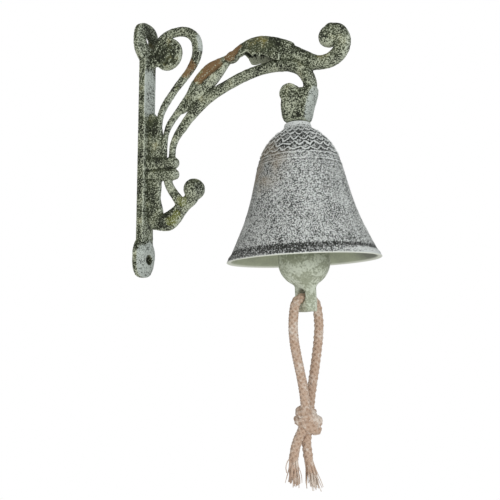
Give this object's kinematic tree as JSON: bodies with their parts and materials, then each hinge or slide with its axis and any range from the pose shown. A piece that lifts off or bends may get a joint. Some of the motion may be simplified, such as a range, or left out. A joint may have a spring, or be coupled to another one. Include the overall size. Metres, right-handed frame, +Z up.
{
  "type": "wall mounted bell",
  "caption": "Cast scroll wall bracket carrying a flared hand bell on a leaning eye bolt, with a ball clapper on a link and a knotted cotton pull rope.",
  "frame": {"origin": "on the back of the wall plate, midway between the centres of its two screw holes", "axes": "+X out from the wall, +Z up, +Y across the bracket, to the left of someone facing the wall"},
  "size_m": [0.1797, 0.1, 0.3254],
  "materials": {
    "bracket_iron": "olive black paint, dry brushed in pale grey",
    "bell_iron": "grey white speckled paint, pale inside",
    "hardware_steel": "dull steel",
    "clapper_paint": "pale sage paint, satin",
    "rope_cotton": "braided cotton, matt"
  },
  "bodies": {
    "bracket": {"back_plate": "bracket_iron", "stem_web": "bracket_iron", "tie_band": "bracket_iron", "upper_scroll": "bracket_iron", "scroll_volute": "bracket_iron", "centre_stem": "bracket_iron", "lower_arm": "bracket_iron", "acanthus_leaf": "bracket_iron", "end_scroll": "bracket_iron", "hanger_boss": "bracket_iron", "lower_knob": "bracket_iron", "lower_scroll": "bracket_iron", "hanger_eye_bolt": "hardware_steel", "crown_washer": "hardware_steel", "crown_nut": "hardware_steel", "lock_nut": "hardware_steel"},
    "bell": {"bell": "bell_iron"},
    "link": {"clapper_link": "hardware_steel"},
    "clapper": {"clapper_rod": "hardware_steel", "clapper_ball": "clapper_paint"},
    "rope": {"rope_near": "rope_cotton", "rope_far": "rope_cotton", "rope_knot": "rope_cotton", "rope_tail_near": "rope_cotton", "frayed_end_near": "rope_cotton", "rope_tail_far": "rope_cotton", "frayed_end_far": "rope_cotton"}
  },
  "joints": [
    {"name": "bell_swivel", "type": "hinge", "parent": "bracket", "child": "bell", "pos_m": [0.12519, 0, 0.00101], "axis": [0.0523, 0, -0.9986], "continuous": true},
    {"name": "link_swing", "type": "hinge", "parent": "bracket", "child": "link", "pos_m": [0.12633, 0, -0.02081], "axis": [0, 1, 0], "range_deg": [-20, 20]},
    {"name": "clapper_swing", "type": "hinge", "parent": "link", "child": "clapper", "pos_m": [0.12674, 0, -0.02855], "axis": [0.9986, 0, 0.0523], "range_deg": [-8, 8]},
    {"name": "rope_swing", "type": "hinge", "parent": "clapper", "child": "rope", "pos_m": [0.13099, 0, -0.10974], "axis": [0.5, 0.866, 0], "range_deg": [-30, 30]}
  ]
}
